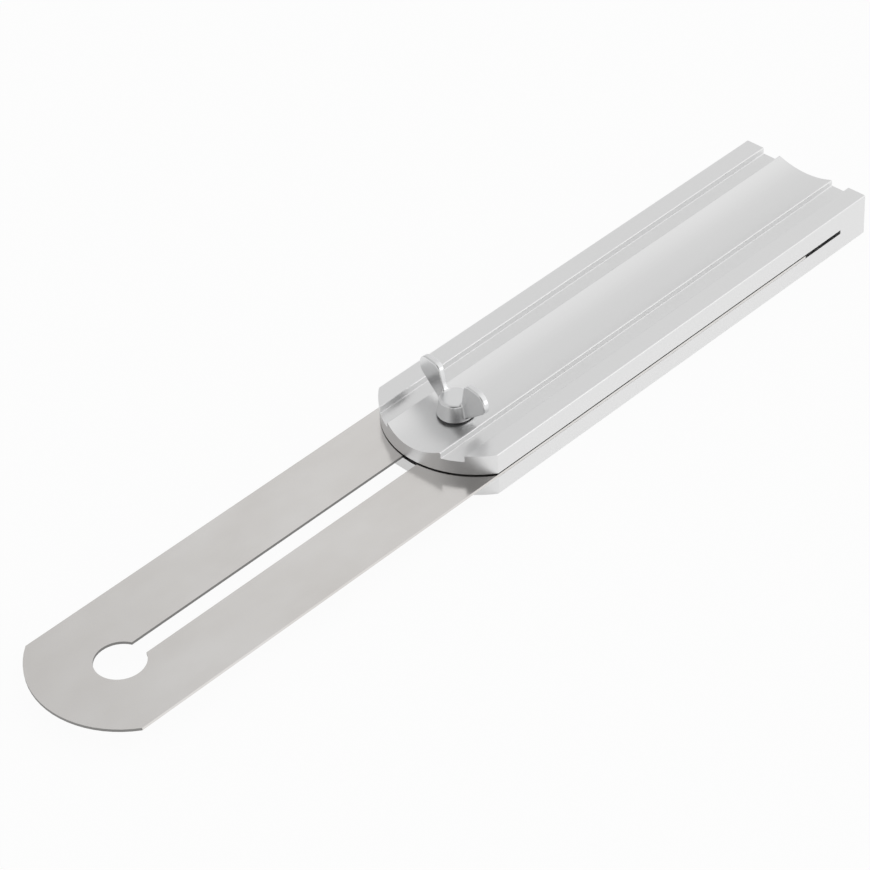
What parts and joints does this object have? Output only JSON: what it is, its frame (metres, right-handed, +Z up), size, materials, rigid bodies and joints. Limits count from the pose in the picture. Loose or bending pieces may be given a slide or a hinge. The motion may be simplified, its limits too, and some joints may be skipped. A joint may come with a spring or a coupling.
{
  "type": "sliding bevel",
  "caption": "Sliding bevel: a grooved metal stock with a kerf, a slotted flat blade that swings and slides in it, and a wing screw on top that clamps the blade at the set angle.",
  "frame": {"origin": "on the underside of the stock, at the middle of the opened tool's length and width", "axes": "+X along the tool from the blade's tip to the back of the stock, +Z up out of the stock's face towards the wing screw, +Y across the stock"},
  "size_m": [0.2642, 0.04, 0.0226],
  "materials": {
    "stock": "drawn along its length, then silver anodised",
    "blade": "fine-ground stainless steel",
    "wing_screw": "zinc plated, tumbled smooth",
    "washer": "blackened steel",
    "clamp_nut": "zinc plated, turned"
  },
  "bodies": {
    "stock": {"stock": "stock"},
    "clamp_nut": {"clamp_nut": "clamp_nut"},
    "blade": {"blade": "blade"},
    "washer": {"washer": "washer"},
    "wing_screw": {"wing_screw": "wing_screw"}
  },
  "joints": [
    {"name": "blade_swing", "type": "hinge", "parent": "stock", "child": "clamp_nut", "pos_m": [-0.00155, 0, 0.00562], "axis": [0, 0, 1], "range_deg": [-160, 160]},
    {"name": "blade_slide", "type": "slide", "parent": "clamp_nut", "child": "blade", "axis": [1, 0, 0], "range_m": [-0.099, 0.004]},
    {"name": "screw_turn", "type": "hinge", "parent": "stock", "child": "washer", "pos_m": [-0.00155, 0, 0.011], "axis": [0, 0, 1], "range_deg": [0, 450]},
    {"name": "screw_lift", "type": "slide", "parent": "washer", "child": "wing_screw", "axis": [0, 0, 1], "range_m": [0, 0.0009]}
  ],
  "couplings": [
    {"joint": "screw_lift", "follows": "screw_turn", "m_per_rad": 0.00011141}
  ]
}
